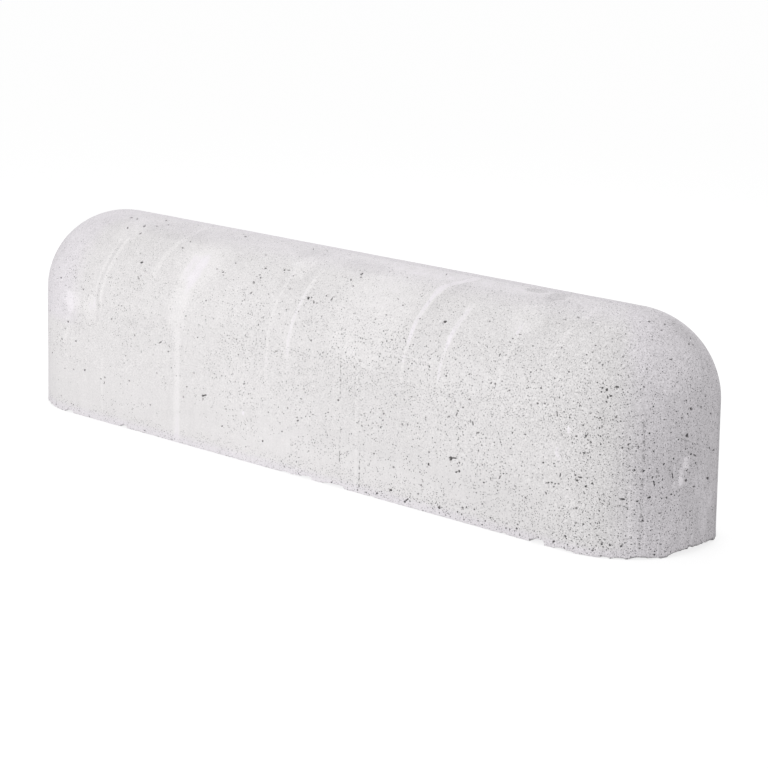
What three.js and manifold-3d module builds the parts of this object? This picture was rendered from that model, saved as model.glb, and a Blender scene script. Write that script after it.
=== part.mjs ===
// Precast concrete kerb block: a straight run with a half-round crown, closed by full-round ends.
// It is cast in one piece, crown down, in a steel mould, so its walls have a slight draft and the
// arris round its base, where the mould was struck off, is broken away in places.
//
// Millimetres, +Z up. X runs along the block and Y across it; the front wall faces -Y.
// The origin is the centre of the flat base.

import * as THREE from "three";
import { mergeVertices, toCreasedNormals } from "three/addons/utils/BufferGeometryUtils.js";
import Module from "manifold-3d";

const wasm = await Module();
wasm.setup();

// ---------------------------------------------------------------- driving dimensions

const LENGTH = 1000; // over both round ends, at the base
const BASE_WIDTH = 210;
const HEIGHT = 250;
const WALL_DRAFT = 2.5; // what each wall leans in by, between the base and the crown

const CROWN_STEPS = 20; // facets in a quarter turn of the crown
const END_STEPS = 80; // facets in a full turn of a round end, a multiple of four

// Pieces broken off the base arris. `along` is the way round the base outline from the middle of
// the front wall to the middle of the break, positive towards +X. `length` runs with the arris,
// `height` up the wall and `depth` in under the base. `lean`, from -1 to 1, is how far the highest
// point of the break lies towards its end.
const SPALLS = [
  { along: -394, length: 15, height: 3, depth: 14, lean: 0.3 },
  { along: -291, length: 13, height: 3, depth: 14, lean: 0.1 },
  { along: 21, length: 20, height: 3.4, depth: 16, lean: 0.4 },
  { along: 65, length: 34, height: 2.9, depth: 14, lean: 0.6 },
  { along: 360, length: 20, height: 5, depth: 24, lean: 0.5 },
  { along: 391, length: 16, height: 2, depth: 9, lean: 0.2 },
  { along: 480, length: 20, height: 2.1, depth: 9, lean: 0 },
  { along: 527, length: 26, height: 5.2, depth: 16, lean: 0.3 },
  { along: 545, length: 13, height: 7, depth: 24, lean: -0.5 },
  { along: 553, length: 84, height: 5.8, depth: 26, lean: 0 },
];
const SPALL_DETAIL = 2; // how finely the broken surface is faceted
const SPALL_ROUGHNESS = 0.14; // how far the broken surface wanders, as a share of its radius

// ---------------------------------------------------------------- what follows from them

const baseRadius = BASE_WIDTH / 2;
const crownRadius = baseRadius - WALL_DRAFT;
const springHeight = HEIGHT - crownRadius; // where the walls end and the crown begins
const endCentre = LENGTH / 2 - baseRadius; // from the block's middle to the axis of a round end

// ---------------------------------------------------------------- solids

function solidFrom(geometry) {
  const positions = geometry.clone();
  positions.deleteAttribute("normal");
  positions.deleteAttribute("uv");
  const merged = mergeVertices(positions);
  return new wasm.Manifold(
    new wasm.Mesh({
      numProp: 3,
      vertProperties: merged.attributes.position.array,
      triVerts: new Uint32Array(merged.index.array),
    }),
  );
}

function geometryFrom(solid, creaseAngle) {
  const { vertProperties, triVerts } = solid.getMesh();
  const geometry = new THREE.BufferGeometry();
  geometry.setAttribute("position", new THREE.BufferAttribute(vertProperties, 3));
  geometry.setIndex(new THREE.BufferAttribute(triVerts, 1));
  return toCreasedNormals(geometry, creaseAngle);
}

// Half of the block's section, from the foot of the wall up to the top of the crown.
// x is the distance from the middle plane and y the height.
function halfSection() {
  const crown = new THREE.EllipseCurve(0, springHeight, crownRadius, crownRadius, 0, Math.PI / 2);
  const points = [new THREE.Vector2(baseRadius, 0), ...crown.getPoints(CROWN_STEPS)];
  points.at(-1).x = 0; // the top of the crown lies exactly on the middle plane
  return points;
}

// The straight run between the two end axes: the whole section, extruded along X.
function straightRun() {
  const right = halfSection();
  const left = right
    .slice(0, -1)
    .reverse()
    .map((p) => new THREE.Vector2(-p.x, p.y));
  const geometry = new THREE.ExtrudeGeometry(new THREE.Shape([...right, ...left]), {
    depth: 2 * endCentre,
    steps: 1,
    bevelEnabled: false,
  });
  const acrossUpAlong = new THREE.Matrix4().makeBasis(
    new THREE.Vector3(0, 1, 0),
    new THREE.Vector3(0, 0, 1),
    new THREE.Vector3(1, 0, 0),
  );
  geometry.applyMatrix4(acrossUpAlong);
  geometry.translate(-endCentre, 0, 0);
  return solidFrom(geometry);
}

// A round end: the same half section, turned about an upright axis.
function roundEnd(side) {
  const profile = [new THREE.Vector2(0, 0), ...halfSection()];
  const geometry = new THREE.LatheGeometry(profile, END_STEPS);
  geometry.rotateX(Math.PI / 2);
  geometry.translate(side * endCentre, 0, 0);
  return solidFrom(geometry);
}

// The outline of the base, anticlockwise from the middle of the front wall.
function baseOutline() {
  const outline = new THREE.Path();
  outline.moveTo(0, -baseRadius);
  outline.lineTo(endCentre, -baseRadius);
  outline.absarc(endCentre, 0, baseRadius, -Math.PI / 2, Math.PI / 2);
  outline.lineTo(-endCentre, baseRadius);
  outline.absarc(-endCentre, 0, baseRadius, Math.PI / 2, (3 * Math.PI) / 2);
  outline.lineTo(0, -baseRadius);
  return outline;
}

// A lump the size of one broken-off piece, centred on the arris and bent to follow it: an ellipsoid
// whose surface wanders in and out, the same way each time for the same place.
function spallCutter({ along, length, height, depth, lean }, outline) {
  const lump = mergeVertices(
    new THREE.IcosahedronGeometry(1, SPALL_DETAIL).deleteAttribute("normal").deleteAttribute("uv"),
  );
  const corners = lump.attributes.position;
  const corner = new THREE.Vector3();
  for (let i = 0; i < corners.count; i++) {
    const wander = Math.sin(along + 12.9 * i) * SPALL_ROUGHNESS;
    corner.fromBufferAttribute(corners, i).multiplyScalar(1 + wander);
    const leaning = lean + corner.x * (corner.x < 0 ? 1 + lean : 1 - lean);
    const run = along + (leaning * length) / 2;
    const share = THREE.MathUtils.euclideanModulo(run / outline.getLength(), 1);
    const arris = outline.getPoint(share);
    const forward = outline.getTangent(share);
    const inset = corner.y * depth;
    corners.setXYZ(i, arris.x - forward.y * inset, arris.y + forward.x * inset, corner.z * height);
  }
  return solidFrom(lump);
}

function kerbBlock() {
  const outline = baseOutline();
  let block = straightRun().add(roundEnd(-1)).add(roundEnd(1));
  for (const spall of SPALLS) block = block.subtract(spallCutter(spall, outline));
  return block;
}

// ---------------------------------------------------------------- the part

const concrete = new THREE.MeshStandardMaterial({
  name: "concrete",
  color: 0xe3e1e2,
  roughness: 0.92,
  metalness: 0,
});

const kerb = new THREE.Mesh(geometryFrom(kerbBlock(), THREE.MathUtils.degToRad(25)), concrete);
kerb.name = "kerb_block";

const part = new THREE.Group();
part.add(kerb);

export default part;
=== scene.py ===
"""Dresses the concrete kerb block: a dense mesh of its cast skin, with its air holes and the
broken arris round its base, and a concrete finish with the marks that the mould left on it.

Metres, +Z up. X runs along the block, the front wall faces -Y, and the base lies on Z = 0.

A mark on the skin is placed in millimetres, as (along, up). `along` runs round the outline of
the block, from the middle of the front wall towards +X and on round the end. `up` is measured
on the skin, from the base arris up the wall and over the crown to the ridge.
"""

import math
import random
from collections import namedtuple
from types import SimpleNamespace

import bpy
import numpy as np
from mathutils import Matrix, Vector, kdtree, noise


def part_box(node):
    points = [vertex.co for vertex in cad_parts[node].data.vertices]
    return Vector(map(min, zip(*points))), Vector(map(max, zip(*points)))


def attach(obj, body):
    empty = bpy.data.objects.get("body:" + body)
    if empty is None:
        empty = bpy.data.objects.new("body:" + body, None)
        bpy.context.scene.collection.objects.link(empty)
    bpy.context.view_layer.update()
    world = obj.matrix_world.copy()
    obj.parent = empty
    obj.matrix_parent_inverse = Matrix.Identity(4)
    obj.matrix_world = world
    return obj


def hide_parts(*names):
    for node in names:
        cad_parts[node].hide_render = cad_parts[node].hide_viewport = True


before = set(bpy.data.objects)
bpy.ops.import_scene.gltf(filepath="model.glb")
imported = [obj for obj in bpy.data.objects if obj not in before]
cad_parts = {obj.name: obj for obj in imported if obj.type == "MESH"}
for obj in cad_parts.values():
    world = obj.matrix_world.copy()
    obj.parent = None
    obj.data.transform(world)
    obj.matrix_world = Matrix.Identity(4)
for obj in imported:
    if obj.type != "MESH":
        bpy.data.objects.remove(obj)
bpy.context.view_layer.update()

MM = 0.001
PIECE = "kerb_block"

# ---------------- the ideal skin

lowest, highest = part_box(PIECE)
HEIGHT = highest.z
BASE_RADIUS = highest.y  # of the round ends, at the base
WALL_DRAFT = 2.5 * MM  # what a wall leans in by, from the base to the crown
CROWN_RADIUS = BASE_RADIUS - WALL_DRAFT
SPRING = HEIGHT - CROWN_RADIUS  # where the wall meets the crown
END_CENTRE = -lowest.x - BASE_RADIUS  # from the middle to the axis of each round end
RIDGE = SPRING + CROWN_RADIUS * math.pi / 2  # `up` of the ridge, in metres
END_ARC = BASE_RADIUS * math.pi  # the outline's length round one end


def section(up):
    """Half-width and height of the skin at `up` metres; below zero, `up` is in across the base."""
    swing = np.clip((up - SPRING) / CROWN_RADIUS, 0, math.pi / 2)
    wall = np.clip(up, 0, SPRING)
    leaning = BASE_RADIUS - WALL_DRAFT * wall / SPRING
    radius = np.where(up > SPRING, CROWN_RADIUS * np.cos(swing), leaning + np.minimum(up, 0))
    return radius, wall + CROWN_RADIUS * np.sin(swing)


def outward(points):
    """The spine's point beside each point, and the level direction from the spine to it."""
    spine = np.clip(points[:, 0], -END_CENTRE, END_CENTRE)
    away = np.column_stack([points[:, 0] - spine, points[:, 1]])
    length = np.linalg.norm(away, axis=1)
    return spine, away / np.maximum(length, 1e-9)[:, None]


def seat(points, up):
    """Points moved onto the ideal skin, each to its own `up`."""
    spine, away = outward(points)
    radius, height = section(up)
    return np.column_stack([spine + radius * away[:, 0], radius * away[:, 1], height])


def skin_normals(points, up):
    spine, away = outward(points)
    swing = np.clip((up - SPRING) / CROWN_RADIUS, 0, math.pi / 2)
    swing = np.where(up > SPRING, swing, math.atan(WALL_DRAFT / SPRING))
    level, rise = np.cos(swing), np.sin(swing)
    under = up < 0
    level[under], rise[under] = 0, -1
    return np.column_stack([away * level[:, None], rise])


def place(along, up):
    """Point, direction along, direction up and normal on the skin, for a mark in millimetres."""
    side = math.copysign(1, along)
    beyond = abs(along) * MM - END_CENTRE
    turn = min(max(beyond / BASE_RADIUS, 0), math.pi)
    behind = max(beyond - END_ARC, 0)
    spine = side * (END_CENTRE + min(beyond, 0) - behind)
    away = Vector((side * math.sin(turn), -math.cos(turn), 0))
    forward = Vector((math.cos(turn), side * math.sin(turn), 0))
    up_metres = up * MM
    swing = max((up_metres - SPRING) / CROWN_RADIUS, 0)
    radius, height = section(np.array(up_metres))
    point = Vector((spine, 0, 0)) + float(radius) * away + Vector((0, 0, float(height)))
    normal = math.cos(swing) * away + math.sin(swing) * Vector((0, 0, 1))
    return point, forward, normal.cross(forward), normal


# ---------------- the marks, in millimetres

# `turn` is in degrees from level, anticlockwise. `dark` runs from 0 to 1: the strength of the
# painted shade in the hole.
Hole = namedtuple("Hole", "along up length width turn dark", defaults=(0, 0.72))
BOLD, FAINT = 1.0, 0.55  # `dark` of the holes that aren't plain
SOFT_RIM = 0.6  # how much of a listed length and width is only its soft rim of painted shade
SMALLEST_HOLE = 1.7  # in either direction, without the rim
HOLE_DEPTH = 0.6  # as a share of the smaller direction
SHADE_REACH = 1.3  # how far a hole darkens the skin with painted shade, as a share of its half size

# The larger air holes of the photographed side, by how dark they are.
BOLD_HOLES = [
    Hole(-280, 215, 5.4, 3.4, 25), Hole(-150.5, 67.5, 4, 3.4), Hole(-146, 69, 6.4, 2.6, 22),
    Hole(152, 14, 4, 3.6), Hole(131.5, 5.5, 3.4, 3.4), Hole(176, 7.5, 8.4, 2, 45),
    Hole(173.5, 5, 3.2, 3), Hole(1.5, 214.5, 4.2, 4), Hole(50.5, 263.5, 3.8, 5),
    Hole(237.5, 69, 5, 6, -15), Hole(242.5, 70.8, 9.6, 2.2, 8), Hole(249.8, 57, 3.6, 3.4, 20),
    Hole(246, 55.5, 4, 2, 20), Hole(206, 56, 3.2, 3.6), Hole(224, 9.5, 3.8, 3.8),
    Hole(364, 91, 2.8, 2.6), Hole(385, 72, 3.4, 2.2), Hole(406, 86, 2.6, 2.4),
    Hole(397, 16.5, 4, 3.4), Hole(382, 7, 3.8, 2.6, 30), Hole(203.5, 220.5, 5, 3.8),
    Hole(336.5, 167.5, 2.6, 2.4), Hole(354.5, 171, 2.8, 2.2), Hole(384.5, 194, 2.6, 2.2),
    Hole(388, 243.5, 3.2, 2.4, -20), Hole(531, 131.5, 5, 4.6, -30), Hole(570, 77, 7, 3, -30),
    Hole(488, 68, 4.6, 2.6, 25), Hole(459.5, 66, 7, 2.8), Hole(475, 64, 3.2, 2.2),
    Hole(412, 84.5, 5, 2.4), Hole(419, 76, 3.6, 2.6, 35), Hole(415, 111.5, 3.8, 2.6),
    Hole(426, 80, 2.8, 2.6), Hole(480.5, 97, 2.8, 2.6), Hole(436, 182, 2.8, 4, -25),
    Hole(447, 186, 5, 2, 5), Hole(441.5, 176, 3, 2.8), Hole(430, 7, 3.2, 2.2, 30),
    Hole(371.5, 70.5, 2.6, 2, 20), Hole(376, 71.5, 3.4, 2, -10), Hole(380.5, 71, 2.6, 2.2, 30),
    Hole(386.5, 82, 2.4, 6, -10),
]
PLAIN_HOLES = [
    Hole(-414, 173, 5, 2.6), Hole(-380, 96, 3.6, 2.8), Hole(-364, 61, 4.2, 3),
    Hole(-385, 58, 3.6, 2.6, -10), Hole(-326, 58, 3.6, 3, 40), Hole(-333, 55, 3.2, 2.2),
    Hole(-274, 194, 4, 3, -20), Hole(-178, 73.5, 3.4, 2.6, 15), Hole(-211, 112, 3.8, 3, 20),
    Hole(-225, 121, 7, 2, 28), Hole(-111, 58, 3.6, 3), Hole(-81, 95, 5, 2.4, 28),
    Hole(-49, 31, 3.4, 2.8, 20), Hole(-77, 18, 3, 2.6), Hole(-86, 242, 4, 3.6),
    Hole(-87, 231, 3, 2, -20), Hole(-83.5, 227.5, 4.4, 2.6, -35), Hole(-89.5, 219.5, 5.4, 2.2, -50),
    Hole(-86, 206, 3.4, 3), Hole(-57, 245, 4, 3, -20), Hole(-59, 209, 3, 2.4),
    Hole(-144.5, 224.5, 3.8, 3), Hole(-135, 241, 3.6, 2.6, -20), Hole(7, 67, 4.2, 2.6, 30),
    Hole(-18, 49, 3.4, 2.8), Hole(69.5, 103.5, 3.8, 3.2, 20), Hole(54, 86, 3, 2.2, 10),
    Hole(138, 101, 3.6, 2.8, 25), Hole(137.5, 93, 3.2, 2.2, 30), Hole(155, 126, 4, 2.2, 35),
    Hole(178, 128, 4, 2.2, 20), Hole(125.5, 51.5, 3.2, 2.8), Hole(12, 211, 5.4, 2.6, -45),
    Hole(35.5, 219.5, 2.6, 5), Hole(54, 257.5, 4.2, 2.8, -20), Hole(44, 250.5, 5.4, 2.4, -45),
    Hole(136.5, 230, 3.2, 3), Hole(122, 214, 3, 2.4), Hole(168.5, 218, 3, 2.4),
    Hole(249.5, 67, 3, 3.4), Hole(206, 70, 3, 2.6), Hole(257, 16.5, 4.2, 3, -20),
    Hole(273.5, 18.5, 4, 2.4, 15), Hole(284, 27, 3, 2.8), Hole(194, 44, 2.6, 2.6),
    Hole(245, 125, 2.8, 2.6), Hole(243.5, 121, 1.8, 7, -18), Hole(261, 141, 3.6, 2.6, 30),
    Hole(274, 106, 3.6, 2.2, 10), Hole(311, 67.5, 3.2, 2.4, 10), Hole(306.5, 62.5, 2, 7, -32),
    Hole(294, 58, 2.2, 4.4), Hole(379, 67.5, 3.2, 2.2, 15), Hole(369, 69.5, 3.4, 2, -20),
    Hole(369, 58, 2.4, 4, 15), Hole(408, 80.5, 4.6, 2.8), Hole(409, 50, 3.6, 3, 25),
    Hole(299.5, 217.5, 2.8, 2.6), Hole(288.5, 164.5, 4.6, 2.4, 30), Hole(294, 164.5, 3.4, 3),
    Hole(302.5, 169, 3, 2.6), Hole(314, 161, 4, 2.2, 25), Hole(398.5, 216.5, 4, 2.2),
    Hole(536, 160, 6, 3.4, -30), Hole(584, 105, 8, 2.6, -10), Hole(545, 73, 4.2, 3),
    Hole(532, 82, 5, 2.4, -15), Hole(514, 90, 2.2, 9, 10), Hole(493, 83, 2.6, 6.6, 5),
    Hole(502, 87, 2.4, 4), Hole(513.5, 69.5, 3.4, 2.6), Hole(501, 50, 4, 2.4),
    Hole(482, 42.5, 3.8, 3.2), Hole(419, 112.2, 3.2, 2.2), Hole(457, 121.5, 3, 2.8),
    Hole(470.5, 98, 2.6, 3.4), Hole(437.5, 19.5, 3.2, 2.2, 10), Hole(517.5, 268, 5, 3, 15),
    Hole(-150, 63, 2.6, 4.4), Hole(-316, 257, 5, 4, -35), Hole(-345, 263, 6, 3, -45),
    Hole(-294, 287, 5, 3, -30), Hole(-167, 296, 7, 4, -45), Hole(-310, 299, 7, 4, -50),
    Hole(-395, 119, 4, 3.4), Hole(-408, 94, 4.6, 2.6, 15), Hole(-327, 51, 2.6, 5),
    Hole(-160, 138.5, 2.8, 2.4), Hole(-117, 36, 4, 2.6, 30), Hole(168, 123, 3.4, 2.8),
    Hole(192.5, 18.5, 3, 3), Hole(158, 191.5, 3.4, 2.4), Hole(240, 135, 3.2, 2.8),
    Hole(251.5, 130, 3, 2.6), Hole(233, 116, 4, 2.2), Hole(266.5, 115, 2.4, 5, 20),
    Hole(280, 93, 3, 2.6), Hole(285, 52, 3, 2.6), Hole(352.5, 154, 3.4, 3),
    Hole(362, 155.5, 3.2, 2.6, -20), Hole(404.5, 128, 4, 2.6), Hole(400, 120, 3, 3),
    Hole(437, 169.5, 3, 3), Hole(448.5, 154, 3.4, 2.8), Hole(463, 125.5, 2.8, 3.4),
    Hole(490.5, 90, 3, 3), Hole(531, 155, 3.4, 3), Hole(552, 159, 3, 4),
    Hole(520, 215, 5, 2.4, -15), Hole(409, 34, 3, 2.8), Hole(418, 34, 3, 2.8),
    Hole(333, 14.7, 3.4, 2.6), Hole(-324, 273, 7, 4, -50), Hole(-351, 287, 6, 3, -40),
    Hole(-362, 287, 6, 5, -30), Hole(555, 175.5, 3, 2.6), Hole(319, 97.5, 3, 2.4),
    Hole(490.5, 118, 3, 2.6), Hole(478.5, 187, 2.8, 2.6), Hole(-39, 239, 4, 2),
    Hole(-55, 297, 6, 2.2, -55), Hole(306, 224, 5, 2.4, 10), Hole(149, 299, 6.4, 2.2, -55),
    Hole(-36, 301, 5, 2.4, -50), Hole(430.5, 188.5, 3, 2.4), Hole(-436, 70, 5, 2.4, 10),
]
FAINT_HOLES = [
    Hole(-431, 82, 4.4, 3, 20), Hole(-411, 18, 3.8, 3), Hole(-390, 12, 3, 2.4),
    Hole(-272, 198, 3.4, 1.6, 65), Hole(-268, 205, 3, 2.6), Hole(-281, 62, 3, 3),
    Hole(-271, 122, 3, 3), Hole(93, 147, 2.6, 3.6), Hole(-238, 103, 2.8, 2.4),
    Hole(-91, 129, 3.2, 2.4), Hole(-243, 38, 3.8, 2.8), Hole(-41, 68, 3, 2.6),
    Hole(-90, 228, 3, 2.4), Hole(-51, 246, 5, 3, 10), Hole(-54, 241, 3, 2.4),
    Hole(-31, 221, 4, 2.6), Hole(-141, 221, 3, 2, -20), Hole(-156, 227, 3, 2.4),
    Hole(-103, 263, 3.6, 2.6, -30), Hole(-177, 303, 6, 2, -50), Hole(72, 107, 3, 1.8, 45),
    Hole(15.5, 107, 3.2, 2.4), Hole(17.5, 103, 2, 3), Hole(75, 70, 3.6, 2.4, 10),
    Hole(6, 216, 3.4, 2, 10), Hole(17.5, 210.5, 3, 2), Hole(37.5, 222.5, 3.4, 2, 15),
    Hole(25.5, 222, 2.6, 3.2), Hole(81.5, 278, 5.4, 2.2, -50), Hole(111.5, 274, 4.4, 2.2, -50),
    Hole(125, 237, 5, 1.6, -20), Hole(249, 63, 2.6, 2.2), Hole(364, 219, 2.6, 5, 20),
    Hole(360, 262.5, 5, 3, -35), Hole(347, 255.5, 5.6, 2.2, 30), Hole(330, 288, 5, 2.4, -30),
    Hole(523.5, 151.5, 4, 3), Hole(572, 148, 5.4, 3, -20), Hole(544, 108, 7.6, 2.6, -25),
    Hole(572, 110, 7, 2, -35), Hole(566, 115, 5, 1.8, -30), Hole(532.5, 252.5, 6, 2.2),
    Hole(557, 260, 5, 3), Hole(504, 245, 4.4, 2, 10), Hole(572, 227.5, 6, 2.8, 15),
    Hole(580, 225, 4, 2.2), Hole(590, 232.5, 6, 2.4), Hole(562, 169, 3.6, 3),
    Hole(85, 45, 2.8, 2.6), Hole(96, 116, 3, 2.6), Hole(70.5, 131, 2.6, 2.4),
    Hole(173, 187, 2.8, 2.2), Hole(232, 141, 3, 2.6), Hole(275.5, 86, 2.6, 3.6, 20),
    Hole(275, 38, 3, 2.6), Hole(282, 71, 2.8, 3.2), Hole(337, 175, 2.6, 2.4),
    Hole(338, 117, 4, 2.2), Hole(420, 155, 3, 2.6), Hole(493, 139.5, 3, 2.4),
    Hole(406, 229.5, 3.4, 2.6), Hole(302.5, 12, 3, 2.6), Hole(355.5, 13, 3, 2.6),
    Hole(388, 37, 2.8, 2.6), Hole(403, 25, 2.8, 2.6), Hole(410, 24.5, 2.8, 2.6),
    Hole(412.5, 11, 2.8, 2.6), Hole(394, 34.5, 3, 2.8), Hole(-232, 248, 5.4, 3.4, -40),
    Hole(277, 163.5, 3, 2.6), Hole(319, 12, 3, 2.6), Hole(155, 42, 3, 3.4),
    Hole(417, 131, 10, 1.5, 58), Hole(379, 147, 2.4, 8, 10), Hole(142, 187, 3.2, 2.4),
    Hole(342, 47, 3, 3), Hole(259.5, 232.5, 3.4, 2.8), Hole(-306, 279, 5, 4, -30),
    Hole(431.5, 151.5, 3, 3), Hole(-229, 261, 5.6, 3, -40), Hole(199, 34, 3, 3),
    Hole(-313, 136, 3.4, 2.6, 10), Hole(53.5, 242.5, 3.2, 3), Hole(174, 95, 2.6, 5),
    Hole(-231, 81, 3.2, 2.6, 20), Hole(-184, 59.5, 3.8, 3, -20), Hole(-96, 95, 3.2, 2.4, 20),
    Hole(512, 11, 3.4, 2.6), Hole(422, 124, 3, 3.6, 10), Hole(-30, 144, 3, 2.4),
    Hole(-166, 93, 3.2, 3), Hole(166, 94, 3.6, 3.4), Hole(-10, 79, 3.6, 3),
    Hole(196.5, 29.5, 3.4, 3), Hole(474, 122.5, 3, 4),
]
FRONT_HOLES = [
    *(hole._replace(dark=BOLD) for hole in BOLD_HOLES),
    *PLAIN_HOLES,
    *(hole._replace(dark=FAINT) for hole in FAINT_HOLES),
]

# `height` is up the wall and `depth` into the base. `lean`, from -1 to 1, is how far the highest
# point lies towards the end of the break.
Spall = namedtuple("Spall", "along length height depth lean", defaults=(0,))

# Where the arris round the base has broken away. They match the block's own solid.
SPALLS = [
    Spall(-394, 15, 3, 14, 0.3), Spall(-291, 13, 3, 14, 0.1), Spall(21, 20, 3.4, 16, 0.4),
    Spall(65, 34, 2.9, 14, 0.6), Spall(360, 20, 5, 24, 0.5), Spall(391, 16, 2, 9, 0.2),
    Spall(480, 20, 2.1, 9), Spall(527, 26, 5.2, 16, 0.3), Spall(545, 13, 7, 24, -0.5),
    Spall(553, 84, 5.8, 26),
]
# Shallow nicks between them.
NICKS = [
    Spall(-449, 16, 1.4, 6), Spall(-436, 8, 0.9, 4), Spall(-11, 15, 1.4, 6), Spall(7, 16, 1.2, 5),
    Spall(123, 8, 0.9, 4), Spall(315, 8, 0.9, 4), Spall(403, 9, 1.5, 6), Spall(443, 9, 1.4, 6),
    Spall(458, 13, 1.2, 5), Spall(495, 15, 1.2, 5),
]
ARRIS_WEAR = Spall(0, 0, 1.0, 3)  # how far the rest of the arris is nibbled, at most
RIM_WIDTH = 2.2  # how far up the wall the edge of a break is darkened with painted shade
WHOLLY_BROKEN = 1.2 * MM  # a point that has moved this far shows none of the cast skin
BREAKS_BETWEEN = (-32 * MM, 12 * MM)  # `up` of the strip that holds every break

# Raised smears of cement paste. `proud` is how far one stands out of the skin.
Smear = namedtuple("Smear", "along up length width turn proud", defaults=(0, 0.3))
SMEARS = [
    Smear(525, 86, 4, 13), Smear(530.5, 98, 5, 5), Smear(532, 107, 6, 3), Smear(394, 133, 3, 7),
    Smear(383.5, 98, 3, 8, 10),
]
SMEAR_REACH = 30 * MM  # more than any smear's size

# ---------------- the net

CELL = 5 * MM  # a plain cell of the skin
BASE_CELL = 9 * MM  # and of the base
ARRIS_CELL = 1.3 * MM
ARRIS_BAND = (2 * MM, 4 * MM)  # `up` of the middle of the arris's fine band, and its half width
HOLE_CELL = 0.9 * MM
HOLE_SURROUND = 1.15  # how far round a hole its cells reach, as a share of its half size
COARSENING = 1.1  # how fast cells grow with distance from a fine place
LONGEST_EDGE = 1.45  # of a plain cell, as a share of the cell, so that its diagonal isn't cut
NOTHING = 1e-6  # shorter than any cell, in metres


def stitch(lower, upper):
    """Triangles between two rows of points that run side by side, whatever their counts."""
    triangles, i, j = [], 0, 0
    last_lower, last_upper = len(lower) - 1, len(upper) - 1
    while i < last_lower or j < last_upper:
        if (i + 1) * last_upper <= (j + 1) * last_lower:
            triangles.append((lower[i], lower[i + 1], upper[j]))
            i += 1
        else:
            triangles.append((lower[i], upper[j + 1], upper[j]))
            j += 1
    return triangles


def plain_net():
    """The whole skin in even cells: rings round the block, from the middle of its base out to
    the arris, up the walls and over to the ridge. Gives the points, each one's `up`, and faces."""
    columns = np.linspace(-END_CENTRE, END_CENTRE, round(2 * END_CENTRE / CELL) + 1)
    base_rows = np.linspace(-BASE_RADIUS, 0, round(BASE_RADIUS / BASE_CELL) + 1)
    skin_rows = np.linspace(0, RIDGE, round(RIDGE / CELL) + 1)
    points, ups, triangles = [], [], []

    def add(x, y, up, height):
        points.append((x, y, height))
        ups.append(up)
        return len(points) - 1

    below = None
    for up in [*base_rows, *skin_rows[1:]]:
        radius, height = map(float, section(np.array(up)))
        if radius < NOTHING:
            line = [add(x, 0, up, height) for x in columns]
            ring = (line, line[-1:], line[::-1], line[:1])
        else:
            front = [add(x, -radius, up, height) for x in columns]
            back = [add(x, radius, up, height) for x in columns[::-1]]
            steps = round(math.pi * radius / CELL + 1)
            turns = [k * math.pi / steps for k in range(1, steps)]
            spin = [(radius * math.sin(a), -radius * math.cos(a)) for a in turns]
            right = [add(END_CENTRE + x, y, up, height) for x, y in spin]
            left = [add(-END_CENTRE - x, -y, up, height) for x, y in spin]
            ring = (
                front,
                [front[-1], *right, back[0]],
                back,
                [back[-1], *left, front[0]],
            )
        if below:
            for lower, upper in zip(below, ring):
                triangles += stitch(lower, upper)
        below = ring
    return np.array(points), np.array(ups), np.array(triangles)


def bisect_edges(points, ups, triangles, wanted):
    """One round of cuts: every edge longer than wanted there is halved, and so is the longest
    edge of each triangle that it touches, so that no sliver is left. None when all are short."""
    sides = np.stack([triangles, np.roll(triangles, -1, axis=1)], axis=2)
    edges, ids = np.unique(np.sort(sides.reshape(-1, 2), axis=1), axis=0, return_inverse=True)
    ids = ids.reshape(-1, 3)
    ends = points[edges]
    lengths = np.linalg.norm(ends[:, 0] - ends[:, 1], axis=1)
    middle_up = ups[edges].mean(axis=1)
    middles = seat(ends.mean(axis=1), middle_up)
    cut = lengths > wanted(middles, middle_up)
    if not cut.any():
        return None

    rows = np.arange(len(triangles))
    longest = np.argmax(lengths[ids], axis=1)
    while True:
        touched = cut[ids].any(axis=1)
        more = ids[rows, longest][touched]
        if cut[more].all():
            break
        cut[more] = True

    middle = np.full(len(edges), -1)
    middle[cut] = len(points) + np.arange(cut.sum())
    turned = (longest[:, None] + np.arange(3)) % 3
    a, b, c = np.take_along_axis(triangles, turned, axis=1).T
    on_ab, on_bc, on_ca = middle[np.take_along_axis(ids, turned, axis=1)].T

    whole = on_ab < 0
    parts = [np.column_stack([a, b, c])[whole]]
    for start, end, halfway in ((c, a, on_ca), (b, c, on_bc)):
        split = ~whole & (halfway >= 0)
        plain = ~whole & (halfway < 0)
        parts.append(np.column_stack([start, end, on_ab])[plain])
        parts.append(np.column_stack([start, halfway, on_ab])[split])
        parts.append(np.column_stack([halfway, end, on_ab])[split])
    new_points = np.concatenate([points, middles[cut]])
    new_ups = np.concatenate([ups, middle_up[cut]])
    return new_points, new_ups, np.concatenate(parts)


def fine_net(holes):
    """The plain net, cut finer round every hole and along the arris."""
    centres = kdtree.KDTree(len(holes))
    for index, hole in enumerate(holes):
        centres.insert(place(hole.along, hole.up)[0], index)
    centres.balance()
    reach = [max(hole.length, hole.width) / 2 * MM for hole in holes]

    def wanted(points, ups):
        size = np.where(ups < 0, BASE_CELL, CELL) * LONGEST_EDGE
        band_middle, band_reach = ARRIS_BAND
        from_arris = np.maximum(np.abs(ups - band_middle) - band_reach, 0)
        size = np.minimum(size, ARRIS_CELL + COARSENING * from_arris)
        for row, point in enumerate(points):
            _, index, distance = centres.find(point)
            beyond = max(distance - reach[index] * HOLE_SURROUND, 0)
            size[row] = min(size[row], HOLE_CELL + COARSENING * beyond)
        return size

    net = plain_net()
    while True:
        finer = bisect_edges(*net, wanted)
        if finer is None:
            return net
        net = finer


# ---------------- relief

SEED = 41
HIDDEN_HOLES = 140
PHOTOGRAPHED = (-470, 610)  # the stretch of `along` that the photograph shows
LOWEST_HOLE = 5  # `up` of the lowest random hole
HOLE_GAP = 7 * MM  # between the middles of two random holes


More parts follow.
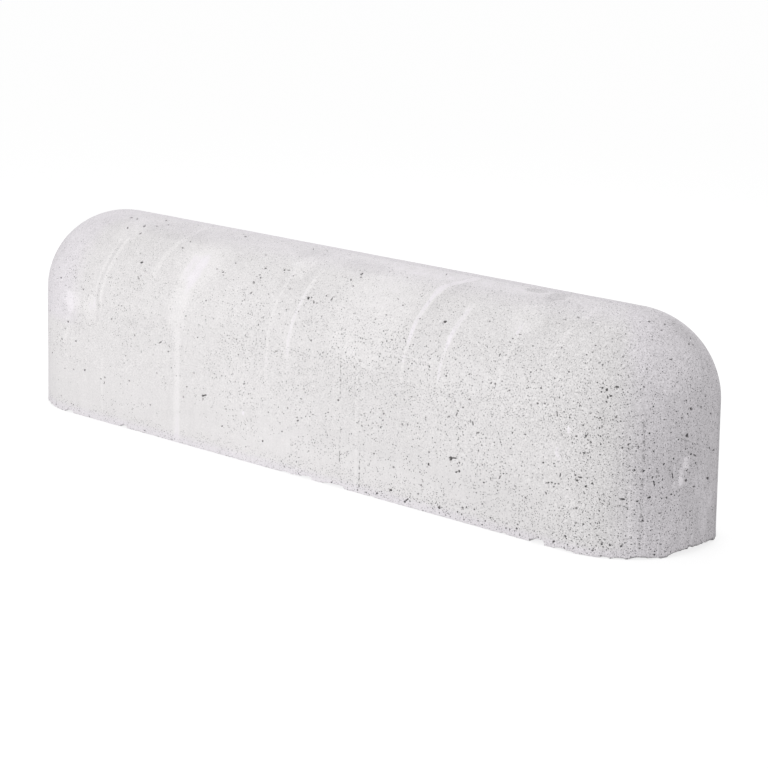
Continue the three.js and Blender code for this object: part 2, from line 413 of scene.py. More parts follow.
def scattered_holes():
    """Air holes at random over the sides that the photograph doesn't show."""
    draw = random.Random(SEED)
    half_outline = (2 * END_CENTRE + END_ARC) / MM
    placed = []
    holes = []
    while len(holes) < HIDDEN_HOLES:
        along = draw.uniform(-half_outline, half_outline)
        up = draw.uniform(LOWEST_HOLE, RIDGE / MM)
        if PHOTOGRAPHED[0] < along < PHOTOGRAPHED[1]:
            continue
        radius = float(section(np.array(up * MM))[0])
        on_end = END_CENTRE < abs(along) * MM < END_CENTRE + END_ARC
        point = place(along, up)[0]
        airy = min(max((point.x + 0.45) / 0.9, 0.15), 1)
        if draw.random() > airy * (radius / BASE_RADIUS if on_end else 1):
            continue
        if any((point - other).length < HOLE_GAP for other in placed):
            continue
        placed.append(point)
        size = 2.4 + 2.6 * draw.random() ** 3
        width = size * draw.uniform(0.5, 1)
        holes.append(Hole(along, up, size, width, draw.uniform(-60, 60), draw.uniform(0.4, 1)))
    return holes


def sink_holes(points, holes):
    """How deep each point lies in a hole, in metres, and how dark the painted shade of the hole
    makes it, 0 to 1.
    """
    near = kdtree.KDTree(len(points))
    for index, point in enumerate(points):
        near.insert(point, index)
    near.balance()
    depth, shade = np.zeros(len(points)), np.zeros(len(points))
    for hole in holes:
        centre, forward, upward, _ = place(hole.along, hole.up)
        turn = math.radians(hole.turn)
        long_way = math.cos(turn) * forward + math.sin(turn) * upward
        short_way = math.cos(turn) * upward - math.sin(turn) * forward
        length = max(hole.length - SOFT_RIM, SMALLEST_HOLE) * MM
        width = max(hole.width - SOFT_RIM, SMALLEST_HOLE) * MM
        deepest = HOLE_DEPTH * min(length, width)
        for point, index, _ in near.find_range(centre, max(length, width)):
            offset = point - centre
            across = math.hypot(
                offset.dot(long_way) * 2 / length,
                offset.dot(short_way) * 2 / width,
            )
            across *= 1 + 0.45 * noise.noise(point * 520)
            if across < SHADE_REACH:
                dip = math.sqrt(max(1 - across * across, 0)) * deepest
                depth[index] = max(depth[index], dip)
                # the darkness is painted shade, in the pit and a little round it
                dark = min(max((SHADE_REACH - across) / 0.7, 0), 1) * hole.dark
                shade[index] = max(shade[index], dark)
    return depth, shade


def raise_smears(points):
    """How far each point is raised by a smear of paste, in metres, and how much of it is paste."""
    height, paste = np.zeros(len(points)), np.zeros(len(points))
    for smear in SMEARS:
        centre, forward, upward, _ = place(smear.along, smear.up)
        turn = math.radians(smear.turn)
        offset = points - np.array(centre)
        level, rise = offset @ np.array(forward), offset @ np.array(upward)
        a = (math.cos(turn) * level + math.sin(turn) * rise) * 2 / (smear.length * MM)
        b = (math.cos(turn) * rise - math.sin(turn) * level) * 2 / (smear.width * MM)
        share = np.clip(1.3 - np.hypot(a, b), 0, 1)
        share[np.linalg.norm(offset, axis=1) > SMEAR_REACH] = 0
        for row in np.flatnonzero(share):
            ragged = noise.noise(Vector(points[row]) * 330) + noise.noise(Vector(points[row]) * 120)
            share[row] = min(max(share[row] + 0.9 * ragged, 0), 1)
        height = np.maximum(height, smear.proud * MM * share)
        paste = np.maximum(paste, share)
    return height, paste


def along_of(points):
    """`along` of each point, in millimetres."""
    spine, away = outward(points)
    turn = np.arctan2(np.abs(away[:, 0]), -away[:, 1])
    side = np.where(points[:, 0] < 0, -1, 1)
    back = np.where(points[:, 1] < 0, -1, 1)
    run = END_CENTRE + BASE_RADIUS * turn + (END_CENTRE - np.abs(spine)) * back
    return side * run / MM


def break_arris(points, ups):
    """Moves the points next to the base arris inwards and upwards, onto the broken faces.
    Gives each point's shift, and from 0 to 1 how broken it is and how near the rim of a break."""
    shift = np.zeros((len(points), 3))
    broken, rim = np.zeros(len(points)), np.zeros(len(points))
    rows = np.flatnonzero((ups > BREAKS_BETWEEN[0]) & (ups < BREAKS_BETWEEN[1]))
    along = along_of(points[rows])
    _, away = outward(points[rows])
    for row, run, direction in zip(rows, along, away):
        point = Vector(points[row])
        inset, rise = max(-ups[row], 0) / MM, max(ups[row], 0) / MM
        rough = 1 + 0.16 * noise.noise(point * 160) + 0.10 * noise.noise(point * 480)
        wear = 0.1 + 0.5 * noise.noise(point * 70) + 0.6 * noise.noise(point * 210)
        moves = [(ARRIS_WEAR, max(wear, 0))]
        for spall in SPALLS + NICKS:
            reach = (run - spall.along) * 2 / spall.length - spall.lean
            reach /= 1 + spall.lean if reach < 0 else 1 - spall.lean
            if abs(reach) < 1:
                moves.append((spall, math.sqrt(1 - reach * reach) * rough))
        for spall, size in moves:
            # The broken face is an elliptic scoop. A point moves on a slant until it meets it.
            spread = inset / spall.depth + rise / spall.height
            if spread >= size:
                rim[row] = max(rim[row], 1 - (spread - size) * spall.height / RIM_WIDTH)
                continue
            travel = (math.sqrt(2 * size * size - spread * spread) - spread) / 2
            step = Vector((
                -direction[0] * spall.depth, -direction[1] * spall.depth, spall.height
            )) * travel * MM
            if step.length > np.linalg.norm(shift[row]):
                shift[row] = step
                broken[row] = min(step.length / WHOLLY_BROKEN, 1)
    return shift, broken, rim


def waviness(point):
    """The slow swells and the fine unevenness of the cast skin, in metres."""
    swell = 0.25 * noise.noise(point * 9) + 0.12 * noise.noise(point * 34)
    return (swell + 0.05 * noise.noise(point * 150)) * MM


def trowelled(point):
    """The uneven struck-off base: how far a point of it stands back, in metres."""
    drag = Vector((point.x * 12, point.y * 55, 0))
    return (0.5 + 0.5 * noise.noise(drag) + 0.35 * noise.noise(point * 70)) * MM


ARRIS_FADE = 6 * MM  # the unevenness dies away over this much towards the arris
SUNK = 0.2 * MM  # how far the uneven skin lies under the ideal one, so that it stays in its box
CREASE = math.radians(48)  # edges sharper than this stay sharp


def kerb_mesh():
    """The whole block's skin, with what the shader needs to know at each point."""
    holes = FRONT_HOLES + scattered_holes()
    points, ups, triangles = fine_net(holes)
    normals = skin_normals(points, ups)
    depth, shade = sink_holes(points, holes)
    raised, paste = raise_smears(points)
    shift, broken, rim = break_arris(points, ups)
    lift = raised - depth
    for row, point in enumerate(points):
        point = Vector(point)
        if ups[row] < 0:
            lift[row] -= max(trowelled(point), 0) * min(-ups[row] / ARRIS_FADE, 1)
        else:
            lift[row] += (waviness(point) - SUNK) * min(ups[row] / ARRIS_FADE, 1)
            lift[row] += 0.25 * MM * broken[row] * noise.noise(point * 700)
    points = points + normals * lift[:, None] + shift

    mesh = bpy.data.meshes.new("kerb_surface")
    mesh.from_pydata(points.tolist(), [], triangles.tolist())
    # `hole` holds the painted shade of the holes; `rim` marks where the edge of a break gets
    # painted shade
    marks = {"hole": shade, "broken": broken, "rim": rim, "paste": paste}
    for name, values in marks.items():
        mesh.attributes.new(name, "FLOAT", "POINT").data.foreach_set("value", values)
    mesh.polygons.foreach_set("use_smooth", [True] * len(mesh.polygons))
    mesh.set_sharp_from_angle(angle=CREASE)
    mesh.validate()
    return mesh


# ---------------- the finish


class Net:
    """Shader nodes written as formulas: each call adds a node and gives its output."""

    def __init__(self, tree):
        self.tree = tree

    def node(self, kind, **settings):
        node = self.tree.nodes.new(kind)
        for name, value in settings.items():
            setattr(node, name, value)
        return node

    def feed(self, socket, value):
        if isinstance(value, bpy.types.NodeSocket):
            self.tree.links.new(value, socket)
        else:
            socket.default_value = value

    def math(self, operation, *values):
        node = self.node("ShaderNodeMath", operation=operation)
        for socket, value in zip(node.inputs, values):
            self.feed(socket, value)
        return node.outputs[0]

    def total(self, *values):
        result = values[0]
        for value in values[1:]:
            result = self.math("ADD", result, value)
        return result

    def product(self, *values):
        result = values[0]
        for value in values[1:]:
            result = self.math("MULTIPLY", result, value)
        return result

    def step(self, value, start, end, low=0, high=1):
        """Runs smoothly from low to high as value goes from start to end."""
        node = self.node("ShaderNodeMapRange", interpolation_type="SMOOTHSTEP")
        for socket, setting in zip(node.inputs, (value, start, end, low, high)):
            self.feed(socket, setting)
        return node.outputs[0]

    def noise(self, place, scale, detail=2, roughness=0.5):
        """Noise from about -1 to 1."""
        node = self.node("ShaderNodeTexNoise")
        self.feed(node.inputs["Vector"], place)
        self.feed(node.inputs["Scale"], scale)
        self.feed(node.inputs["Detail"], detail)
        self.feed(node.inputs["Roughness"], roughness)
        return self.math("MULTIPLY_ADD", node.outputs["Fac"], 2, -1)

    def cells(self, place, scale):
        """The distance to the middle of the nearest cell, and three random values of that cell."""
        cell = self.node("ShaderNodeTexVoronoi", feature="F1")
        self.feed(cell.inputs["Vector"], place)
        self.feed(cell.inputs["Scale"], scale)
        tint = self.node("ShaderNodeSeparateColor")
        self.feed(tint.inputs[0], cell.outputs["Color"])
        return cell.outputs["Distance"], tint.outputs

    def attribute(self, name):
        return self.node("ShaderNodeAttribute", attribute_name=name).outputs["Fac"]


def group(name, inputs, build):
    """A node group of one value, made by build(net, mark), with its inputs as mark's fields."""
    tree = bpy.data.node_groups.new(name, "ShaderNodeTree")
    for label in inputs:
        tree.interface.new_socket(label, in_out="INPUT", socket_type="NodeSocketFloat")
    tree.interface.new_socket("Value", in_out="OUTPUT", socket_type="NodeSocketFloat")
    net = Net(tree)
    given = net.node("NodeGroupInput").outputs
    result = net.node("NodeGroupOutput")
    mark = SimpleNamespace(**{label: given[label] for label in inputs})
    net.feed(result.inputs[0], build(net, mark))
    return tree


def streak_value(net, mark):
    """A band up the skin, from (foot, low) to (head, high), with its own softness each side."""
    up = mark.up
    middle = net.step(up, mark.low, mark.high, mark.foot, mark.head)
    offset = net.math("SUBTRACT", mark.along, middle)
    left = net.math("MULTIPLY", mark.width, -0.5)
    right = net.math("MULTIPLY", mark.width, 0.5)
    faded_foot = net.math("SUBTRACT", mark.low, mark.fade)
    faded_head = net.total(mark.high, mark.fade)
    return net.product(
        net.step(offset, net.math("SUBTRACT", left, mark.left_soft), left),
        net.step(offset, net.total(right, mark.right_soft), right),
        net.step(up, faded_foot, mark.low),
        net.step(up, faded_head, mark.high, 0, mark.strength),
    )


def blotch_value(net, mark):
    """An oval cloud, or a ragged patch."""

    def measured(place, middle, size):
        """How far place is from the middle, as a share of the size."""
        shift = net.math("DIVIDE", net.math("MULTIPLY", middle, -1), size)
        return net.math("MULTIPLY_ADD", place, net.math("DIVIDE", 1, size), shift)

    across = measured(mark.along, mark.centre, mark.length)
    high = measured(mark.up, mark.height, mark.width)
    squared = net.math("MULTIPLY_ADD", across, across, net.product(high, high))
    crumbling = net.product(mark.ragged, 0.5)
    crumbled = net.math("MULTIPLY_ADD", mark.crumbs, crumbling, squared)
    inner = net.math("MULTIPLY_ADD", mark.ragged, 0.2, 0.04)
    return net.step(crumbled, 0.36, inner, 0, mark.strength)


# Bands that follow the section: pale where paste was drawn out thin along the mould; the dark ones
# beside them are painted shade of the shallow folds that the paste was drawn into.
Streak = namedtuple("Streak", "foot head low high width left_soft right_soft fade strength")
STREAKS = [
    Streak(-333, -326, 150, 240, 3.5, 1.2, 2, 12, 0.06),
    Streak(-344, -336, 150, 236, 3, 1.5, 1.5, 14, 0.065),
    Streak(-338, -331, 155, 236, 2, 1.5, 1.5, 12, -0.03),
    Streak(-331, -331, 15, 80, 2, 2, 2, 12, 0.03),
    Streak(-402, -396, 92, 124, 5, 2, 4, 10, 0.045),
    Streak(-195, -194.5, 0, 130, 4, 9, 4, 25, 0.08),
    Streak(-199, -192, 155, 235, 18, 10, 12, 25, 0.07),
    Streak(-180, -174, 190, 240, 18, 10, 12, 25, 0.035),
    Streak(-250, -239, 215, 285, 4.5, 3, 4, 40, 0.06),
    Streak(-45, -41, 130, 236, 2.5, 1, 2.5, 20, 0.065),
    Streak(-11, -4.5, 150, 235, 2.5, 2.5, 3, 35, 0.10),
    Streak(162.5, 165.5, 150, 200, 2.5, 2, 2.5, 20, 0.07),
    Streak(165.5, 168, 200, 245, 3.5, 3, 2.5, 22, 0.09),
    Streak(168, 188, 263, 300, 8, 3, 4, 20, 0.09),
    Streak(178, 190, 240, 285, 8, 2.5, 14, 25, -0.06),
    Streak(216, 219.5, 160, 200, 2, 2, 2, 18, 0.09),
    Streak(219.5, 224.5, 200, 242, 4.5, 3, 5, 14, 0.10),
    Streak(297.5, 302.5, 160, 220, 3, 1.5, 3, 18, 0.06),
    Streak(361, 369, 235, 268, 4, 2, 4, 30, 0.06),
    Streak(369, 400, 266, 285, 4, 4, 6, 6, 0.06),
    Streak(99, 98, 0, 140, 3, 3, 1.5, 14, 0.03),
    Streak(456.5, 456.5, 60, 140, 1.2, 0.8, 1, 14, 0.08),
    Streak(467, 467, 10, 60, 1.2, 0.8, 1, 10, 0.045),
    Streak(490, 490, 8, 45, 1, 0.8, 1, 10, 0.10),
    Streak(500.5, 500.5, 8, 42, 1.2, 0.8, 1, 10, 0.09),
    # the dark band at 601 is painted shade, where the round end turns away from the lights
    Streak(601, 601, 0, 150, 5, 6, 5, 20, -0.12),
]

# Clouds, pale or dark, and ragged patches. `ragged` runs from 0 to 1.
Blotch = namedtuple("Blotch", "centre height length width ragged strength")
BLOTCHES = [
    Blotch(-360, 190, 400, 170, 0, -0.025), Blotch(-386, 146, 34, 28, 0.3, 0.07),
    Blotch(-391, 147, 14, 28, 0.8, 0.05), Blotch(-370, 148, 64, 24, 0.3, 0.03),
    Blotch(-352, 143, 24, 34, 0.6, 0.065), Blotch(-350, 142, 10, 22, 0.8, 0.03),
    Blotch(-335, 262, 40, 56, 0.5, 0.05), Blotch(-270, 276, 120, 40, 0.3, -0.05),
    Blotch(-372, 276, 60, 40, 0.3, -0.04), Blotch(-185, 232, 80, 70, 0.2, 0.05),
    Blotch(-155, 260, 110, 60, 0, -0.03), Blotch(-50, 85, 170, 120, 0, 0.03),
    Blotch(280, 118, 240, 130, 0, 0.03), Blotch(540, 160, 120, 120, 0, 0.035),
    Blotch(430, 276, 240, 50, 0, 0.04), Blotch(-212, 278, 80, 40, 0.3, -0.04),
    Blotch(-35, 256, 30, 44, 0.5, 0.08), Blotch(-42, 285, 50, 40, 0.3, -0.045),
    Blotch(-25, 240, 60, 50, 0.2, -0.03), Blotch(98, 205, 110, 140, 0.2, 0.045),
    Blotch(120, 250, 130, 80, 0.2, 0.03), Blotch(45, 281, 70, 36, 0.3, -0.05),
    # the dark patches at 275 and 307 are painted shadows of shallow dents, and the long pale cloud
    # at 175 along the ridge is a painted highlight
    Blotch(275, 302, 28, 14, 0.3, -0.2), Blotch(307, 297, 26, 28, 0.3, -0.15),
    Blotch(175, 300, 420, 40, 0, 0.08), Blotch(475, 240, 70, 50, 0, 0.03),
    Blotch(520, 215, 110, 60, 0, 0.04), Blotch(330, 262, 90, 60, 0.2, -0.03),
    Blotch(304, 248, 40, 46, 0.5, 0.075), Blotch(384, 264, 40, 36, 0.3, -0.05),
    Blotch(381, 106, 4, 9, 1, 0.1), Blotch(384, 98, 6, 10, 1, 0.08),
    Blotch(374, 113, 16, 14, 1, 0.05), Blotch(394, 133, 3, 9, 0.5, 0.16),
    Blotch(-81, 59, 4, 6, 0.4, 0.14), Blotch(-73, 178, 5, 6, 0.4, 0.06),
    Blotch(525, 87, 6, 19, 0.6, 0.2), Blotch(530.5, 98, 8, 9, 0.8, 0.2),
    Blotch(532, 106.5, 8, 5, 0.9, 0.24), Blotch(528, 92, 16, 36, 0.7, 0.08),
    Blotch(515.5, 96, 3, 13, 0.7, 0.14), Blotch(515.5, 80.5, 4, 9, 0.7, 0.16),
    Blotch(552, 76, 20, 30, 0.7, 0.09), Blotch(567, 54, 28, 24, 0.7, 0.09),
    Blotch(566, 30, 12, 26, 0.7, 0.08), Blotch(510, 222, 130, 100, 0, 0.07),
    # the dark clouds at 592 and 600 are painted shade on the side of the round end that turns away
    # from the lights
    Blotch(592, 245, 60, 60, 0, -0.09), Blotch(505, 110, 110, 60, 0, -0.04),
    Blotch(600, 15, 60, 70, 0.2, -0.1), Blotch(500, 12, 240, 60, 0, 0.04),
    Blotch(188, 172, 80, 3, 0, 0.04), Blotch(188, 166, 80, 3, 0, 0.04),
    # the long pale cloud at 50 along the foot of the wall is painted light, standing in for more
    # light from the floor
    Blotch(50, 12, 560, 80, 0, 0.045), Blotch(-330, 256, 260, 60, 0, -0.03),
]


def seam_value(net, mark):
    """A line up the skin at `centre`, from `low` to `high`."""
    up = mark.up
    offset = net.math("ABSOLUTE", net.math("SUBTRACT", mark.along, mark.centre))
    return net.product(
        net.step(offset, mark.width, net.product(mark.width, 0.4)),
        net.step(up, net.math("SUBTRACT", mark.low, 8), mark.low),
        net.step(up, net.total(mark.high, 25), mark.high, 0, mark.strength),
    )


# Where two plates of the mould met.
Seam = namedtuple("Seam", "centre low high width strength")
SEAMS = [
    Seam(74, 20, 60, 1.1, 0.8),
    Seam(72.5, 112, 146, 1.6, 0.7),
    Seam(94, 90, 155, 1.4, 0.35),
    Seam(102.5, 122, 148, 1.4, 0.45),
    Seam(104.5, 0, 20, 1.8, 0.9),
    Seam(104.5, 0, 45, 1, 0.7),
    Seam(479.5, 12, 150, 2.6, 0.6),
]


# Fine air holes, a layer of cells for each size, drawn as specks of painted shade. A cell's chance
# to hold one is `share` times what the skin's airiness has over `least`. The crown counts as less
# airy by `crown_loss`.
Speck = namedtuple("Speck", "cells_per_metre radius share least crown_loss")
SPECKS = [
    Speck(190, 1.5 * MM, 1.1, 0.75, 1),
    Speck(210, 1.15 * MM, 0.9, 0.15, 0.3),
    Speck(320, 0.85 * MM, 1.15, 0.1, 0.15),
    Speck(520, 0.6 * MM, 1.6, -0.1, 0),
]

GREY_PASTE = (0.765, 0.747, 0.750, 1)
# the violet paste also serves as the painted tint of shade at the ends
VIOLET_PASTE_AND_SHADE = (0.765, 0.737, 0.766, 1)


class Skin:
    """Where a shaded point lies on the skin, and in what kind of place. `x` and `run` are in
    metres, `along` and `up` in millimetres."""

    def __init__(self, net):
        self.where = net.node("ShaderNodeTexCoord").outputs["Object"]
        split = net.node("ShaderNodeSeparateXYZ")
        net.feed(split.inputs[0], self.where)
        self.x, y, z = split.outputs

        # round the outline: `run` is the way from the middle of the front wall to either side,
        # and `along` is the same with its sign and a slight wander
        from_middle = net.math("ABSOLUTE", self.x)
        spine = net.math("MINIMUM", from_middle, END_CENTRE)
        overhang = net.math("SUBTRACT", from_middle, spine)
        turn = net.math("ARCTAN2", overhang, net.math("MULTIPLY", y, -1))
        behind = net.product(net.math("SUBTRACT", END_CENTRE, spine), net.math("SIGN", y))
        self.run = net.total(END_CENTRE, net.product(turn, BASE_RADIUS), behind)
        straight_along = net.product(self.run, net.math("SIGN", self.x), 1 / MM)
        self.along = net.total(straight_along, net.noise(self.where, 14, 1))

        # up the wall and over the crown
        radial = net.math("SQRT", net.total(net.product(overhang, overhang), net.product(y, y)))
        above = net.math("MAXIMUM", net.math("SUBTRACT", z, SPRING), 0)
        swing = net.math("ARCTAN2", above, radial)
        wall = net.math("MINIMUM", z, SPRING)
        self.up = net.product(net.total(wall, net.product(swing, CROWN_RADIUS)), 1 / MM)

        # from 0 to 1: the lower wall away from the airy end, and the crown
        self.calm = net.product(net.step(self.up, 80, 50), net.step(self.x, 0.42, 0.34))
        self.on_crown = net.step(self.up, 175, 235)

        # fine striations up the walls are noise at a place squeezed in height, strongest at the
        # ends and low down
        squeezed = net.node("ShaderNodeVectorMath", operation="MULTIPLY")
        net.feed(squeezed.inputs[0], self.where)
        squeezed.inputs[1].default_value = (1, 1, 0.05)
        self.drawn_up = squeezed.outputs[0]
        self.striated = net.product(
            net.step(self.run, 0.41, 0.47, 0.25, 1),
            net.step(self.run, 0.74, 0.66, 0.35, 1),
            net.step(self.up, 100, 40, 0.8, 1.5),
        )


def add_marks(net, skin, rows, build, **more):
    """The sum of the marks listed in rows, each one an instance of the same node group."""
    given = {"along": skin.along, "up": skin.up, **more}
    tree = group(type(rows[0]).__name__.lower(), (*given, *rows[0]._fields), build)
    marks = []
    for row in rows:
        mark = net.node("ShaderNodeGroup", node_tree=tree)
        for name, value in {**given, **row._asdict()}.items():
            net.feed(mark.inputs[name], value)
        marks.append(mark.outputs[0])
    return net.total(*marks)


def mould_marks_and_painted_light(net, skin):
    """What the mould did to the paste, with painted light and shade among it: the share by which
    each place is lighter.
    """
    crumbs = net.noise(skin.where, 130, 3)
    patchy = net.step(net.noise(skin.where, 100, 3), -0.5, 0.5, 0.6, 1.3)
    blotches = add_marks(net, skin, BLOTCHES, blotch_value, crumbs=crumbs)
    streaks = add_marks(net, skin, STREAKS, streak_value)
    return net.total(net.product(blotches, patchy), streaks)


def clouds_and_grain(net, skin, rough_paste):
    """Clouds, striations and sand grain: the share by which each place is lighter."""
    # the colour grain grows towards the right end, partly as painted shading of the fine relief
    # that the light grazes there
    grainy = net.product(
        net.step(skin.x, 0.2, 0.48, 0.8, 1.4),
        net.step(skin.calm, 0, 1, 1, 0.55),
    )
    _, sand = net.cells(skin.where, 1150)
    peel, _ = net.cells(skin.where, 540)
    fine = net.total(
        net.math("MULTIPLY_ADD", sand[0], 0.18, -0.09),
        net.math("MULTIPLY_ADD", peel, 0.24, -0.12),
    )
    return net.total(
        net.product(net.noise(skin.where, 7, 3), 0.022),
        net.product(net.noise(skin.where, 28, 3), 0.025),
        net.product(net.noise(skin.where, 110, 2), 0.02),
        net.product(net.noise(skin.drawn_up, 260, 3), skin.striated, 0.12),
        net.product(fine, grainy, rough_paste),
    )


def airiness(net, skin):
    """Near 1 where fine air holes are most, at the airy end and by the base, and near 0 where
    there are hardly any, in a quiet band above the base. Two noises gather them into groups."""
    x, up = skin.x, skin.up
    quiet = net.product(skin.calm, net.step(up, 12, 24))
    return net.total(
        net.step(x, -0.42, 0.46, 0.13, 0.84),
        net.step(up, 24, 4, 0, 0.35),
        net.product(net.step(up, 34, 14), net.step(x, 0.05, 0.2), 0.3),
        net.product(quiet, net.step(x, 0.1, 0.16, -0.35, -0.48)),
        net.product(net.step(skin.run, 0.5, 0.54), net.step(up, 130, 45, -0.1, -0.35)),
        net.product(skin.on_crown, 0.1),
        net.product(net.noise(skin.where, 16, 3), 0.6),
        net.product(net.noise(skin.where, 90, 2), 1.1),
    )


def air_specks(net, skin, airy):
    """Ragged specks of painted shade for the fine air holes, of several sizes, from 0 to 1 at the
    darkest.
    """
    crumbling = net.noise(skin.where, 900)
    darkest = 0
    for speck in SPECKS:
        distance, (luck, growth, darkness) = net.cells(skin.where, speck.cells_per_metre)
        chance = net.math("MULTIPLY_ADD", airy, speck.share, -speck.least * speck.share)
        if speck.crown_loss:
            loss = -speck.crown_loss * speck.share
            chance = net.math("MULTIPLY_ADD", skin.on_crown, loss, chance)
        radius = speck.radius * speck.cells_per_metre
        ragged = net.math("MULTIPLY_ADD", crumbling, 0.35 * radius, distance)
        size = net.math("MULTIPLY_ADD", growth, 0.6 * radius, 0.4 * radius)
        layer = net.product(
            net.math("GREATER_THAN", chance, luck),
            net.step(ragged, size, net.product(size, 0.75)),
            net.math("MULTIPLY_ADD", darkness, 0.5, 0.5),
        )
        darkest = net.math("MAXIMUM", darkest, layer)
    return darkest


def violet_tint_and_shade(net, skin, marks):
    """The paste is more violet at the ends, by the base, over the crown and where it was drawn out
    along the mould. At the ends the tint is painted shade: the cooler colour of their shaded side."""
    return net.total(
        net.step(skin.run, 0.435, 0.49),
        net.product(net.step(skin.x, -0.36, -0.4), net.step(skin.up, 110, 130)),
        net.step(skin.up, 14, 4),
        net.step(skin.up, 245, 290, 0, 0.7),
        net.step(marks, 0.07, 0.13),
    )


def concrete():
    material = bpy.data.materials.new("cast_concrete")
    material.use_nodes = True
    net = Net(material.node_tree)
    shader = material.node_tree.nodes["Principled BSDF"]
    skin = Skin(net)
    hole, broken, rim, paste = (net.attribute(name) for name in ("hole", "broken", "rim", "paste"))

    marks = mould_marks_and_painted_light(net, skin)
    # the paste is smoother where it was drawn out, except round the ends
    rough_paste = net.math(
        "MAXIMUM", net.step(marks, 0.11, 0.03, 0.5, 1), net.step(skin.run, 0.41, 0.44)
    )
    # joints of the mould: dotted lines up the wall
    dotted = net.step(net.noise(skin.where, 330, 2), -0.1, 0.25)
    joint = net.product(add_marks(net, skin, SEAMS, seam_value), dotted)
    clouds = clouds_and_grain(net, skin, rough_paste)
    specks = air_specks(net, skin, airiness(net, skin))
    dot = net.product(specks, net.step(skin.on_crown, 0, 1, 1, 0.66))

    # painted shade along the edge of each break, strongest at the right end
    painted_rim_shade = net.product(
        rim,
        net.step(skin.x, 0.42, 0.49, -0.05, -1),
        net.step(net.noise(skin.where, 120), -0.3, 0.4, 0.3, 1),
    )
    # painted shade in the holes, from the `hole` attribute, ragged at its edge
    ragged_hole_shade = net.total(hole, net.product(hole, net.noise(skin.where, 800, 2), 1.3))
    light = net.product(
        net.total(1, marks, clouds, net.product(paste, 0.12), painted_rim_shade),
        net.step(net.product(dot, rough_paste), 0, 1, 1, 0.1),
        net.step(joint, 0, 1, 1, 0.4),
        net.step(ragged_hole_shade, 0.2, 0.7, 1, 0.2),
    )
    tone = net.node("ShaderNodeMix", data_type="RGBA")
    net.feed(tone.inputs[0], violet_tint_and_shade(net, skin, marks))
    tone.inputs[6].default_value = GREY_PASTE
    tone.inputs[7].default_value = VIOLET_PASTE_AND_SHADE
    colour = net.node("ShaderNodeVectorMath", operation="SCALE")
    net.feed(colour.inputs[0], tone.outputs[2])
    net.feed(colour.inputs["Scale"], light)
    net.feed(shader.inputs["Base Color"], colour.outputs[0])

    relief = net.total(
        net.product(net.noise(skin.where, 650, 2), 0.12),
        net.product(net.noise(skin.where, 240, 3), 0.06),
        net.product(net.noise(skin.drawn_up, 200, 2), skin.striated, 0.1),
        net.product(dot, -0.4),
        net.product(joint, -0.3),
        net.product(broken, net.noise(skin.where, 500, 4, 0.7), 0.6),
    )
    bump = net.node("ShaderNodeBump")
    bump.inputs["Distance"].default_value = MM
    bump.inputs["Strength"].default_value = 0.8
    net.feed(bump.inputs["Height"], relief)
    net.feed(shader.inputs["Normal"], bump.outputs[0])
    shader.inputs["Roughness"].default_value = 0.92
    shader.inputs["Specular IOR Level"].default_value = 0.35
    return material


kerb = bpy.data.objects.new("kerb_surface", kerb_mesh())
bpy.context.scene.collection.objects.link(kerb)
kerb.data.materials.append(concrete())
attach(kerb, "root")
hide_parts(PIECE)

# ---------------- floor, light, camera

FLOOR_SIZE = 40.0
FLOOR_GREY = (0.36, 0.36, 0.36, 1)
FLOOR_GLOW, FLOOR_LIFT = 0.22, 0.53  # what the floor gives off, and how much more of it is seen
SKY_LIGHT, SKY_SEEN = 0.66, 1.0  # the world's strength on the object, and as it is seen
WHITE = (1, 1, 1, 1)

floor_mesh = bpy.data.meshes.new("floor")
corner = FLOOR_SIZE / 2
floor_mesh.from_pydata(
    [(-corner, -corner, 0), (corner, -corner, 0), (corner, corner, 0), (-corner, corner, 0)],
    [],
    [(0, 1, 2, 3)],
)
floor = bpy.data.objects.new("floor", floor_mesh)
floor.location.z = -0.5 * MM
bpy.context.scene.collection.objects.link(floor)


def seen_directly(net):
    """1 for a ray from the camera, off a gloss or through glass: all see the same white."""
    rays = net.node("ShaderNodeLightPath").outputs
    seen = net.math("MAXIMUM", rays["Is Camera Ray"], rays["Is Glossy Ray"])
    return net.math("MAXIMUM", seen, rays["Is Transmission Ray"])


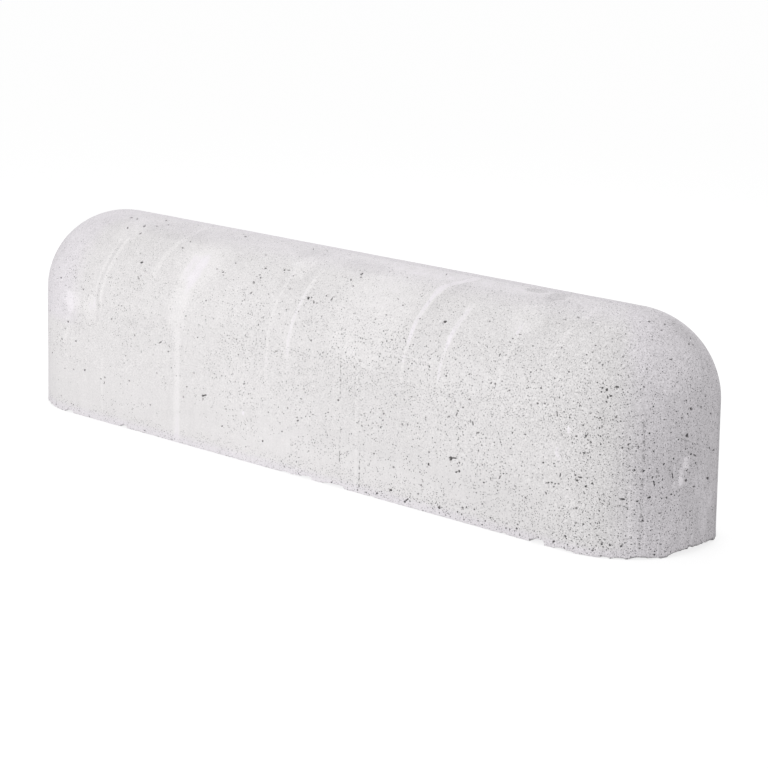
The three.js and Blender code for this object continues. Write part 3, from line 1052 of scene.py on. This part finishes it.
def floor_finish():
    """A pale floor that keeps its shadow; what the camera sees of it is lifted to white."""
    material = bpy.data.materials.new("pale_floor")
    material.use_nodes = True
    net = Net(material.node_tree)
    shader = material.node_tree.nodes["Principled BSDF"]
    shader.inputs["Base Color"].default_value = FLOOR_GREY
    shader.inputs["Roughness"].default_value = 1.0
    shader.inputs["Specular IOR Level"].default_value = 0.0
    shader.inputs["Emission Color"].default_value = WHITE
    glow = net.math("MULTIPLY_ADD", seen_directly(net), FLOOR_LIFT, FLOOR_GLOW)
    net.feed(shader.inputs["Emission Strength"], glow)
    return material


floor_mesh.materials.append(floor_finish())

world = bpy.data.worlds.new("studio")
bpy.context.scene.world = world
world.use_nodes = True
sky = Net(world.node_tree)
background = world.node_tree.nodes["Background"]
background.inputs["Color"].default_value = WHITE
strength = sky.step(seen_directly(sky), 0.0, 1.0, SKY_LIGHT, SKY_SEEN)
sky.feed(background.inputs["Strength"], strength)


def softbox(name, spot, target, size, power):
    lamp = bpy.data.lights.new(name, "AREA")
    lamp.shape = "SQUARE"
    lamp.size = size
    lamp.energy = power
    lamp_object = bpy.data.objects.new(name, lamp)
    lamp_object.location = spot
    lamp_object.rotation_euler = (Vector(target) - Vector(spot)).to_track_quat("-Z", "Y").to_euler()
    bpy.context.scene.collection.objects.link(lamp_object)


softbox("key", (-0.5, -1.5, 0.2), (-0.05, 0, 0.12), 0.7, 8.25)
softbox("fill", (0.3, -1.5, 0.6), (0, 0, 0.12), 0.7, 4.25)
softbox("top", (-0.3, 0.7, 1.3), (-0.1, 0, 0.2), 0.8, 5.1)

# The camera stands front right of the block and a little above it.
CAMERA_AZIMUTH = math.radians(40.61)  # from -Y towards +X
CAMERA_ELEVATION = math.radians(14.82)
CAMERA_ROLL = math.radians(0.98)
CAMERA_DISTANCE = 2.6395
CAMERA_TARGET = Vector((0.050, 0.0, 0.0998))
LENS = 104.29

camera_data = bpy.data.cameras.new("camera")
camera_data.sensor_width = 36
camera_data.lens = LENS
camera = bpy.data.objects.new("camera", camera_data)
level = math.cos(CAMERA_ELEVATION)
back = Vector((
    math.sin(CAMERA_AZIMUTH) * level, -math.cos(CAMERA_AZIMUTH) * level, math.sin(CAMERA_ELEVATION)
))
aim = back.to_track_quat("Z", "Y").to_matrix() @ Matrix.Rotation(CAMERA_ROLL, 3, "Z")
camera.matrix_world = Matrix.Translation(CAMERA_TARGET + back * CAMERA_DISTANCE) @ aim.to_4x4()
bpy.context.scene.collection.objects.link(camera)
bpy.context.scene.camera = camera

bpy.context.scene.view_settings.view_transform = "Standard"
